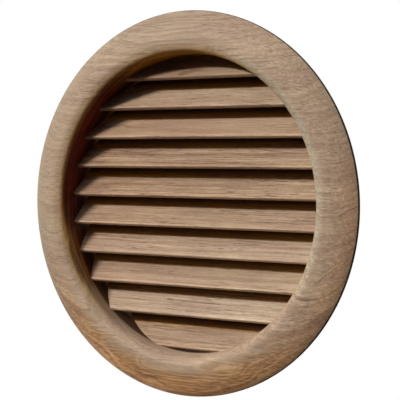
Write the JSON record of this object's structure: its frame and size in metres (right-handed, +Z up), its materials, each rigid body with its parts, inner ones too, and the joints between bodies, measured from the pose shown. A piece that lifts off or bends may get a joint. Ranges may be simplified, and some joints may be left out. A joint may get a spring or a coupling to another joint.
{
  "type": "round vent grille",
  "caption": "Round wooden vent grille: a turned ring with a rounded face and a rear spigot, holding fixed sloping louvre slats that shed rain and pass air.",
  "frame": {"origin": "centre of the ring on the flange's back plane, where the flange meets the wall", "axes": "+Y along the ring's axis into the wall, the face looks along -Y, +Z up, the slats run along X"},
  "size_m": [0.15, 0.0278, 0.15],
  "materials": {
    "ring_wood": "turned, sanded and oiled",
    "slat_wood": "planed and oiled"
  },
  "bodies": {
    "root": {"ring_frame": "ring_wood", "slat_01": "slat_wood", "slat_02": "slat_wood", "slat_03": "slat_wood", "slat_04": "slat_wood", "slat_05": "slat_wood", "slat_06": "slat_wood", "slat_07": "slat_wood", "slat_08": "slat_wood", "slat_09": "slat_wood", "slat_10": "slat_wood"}
  },
  "joints": []
}
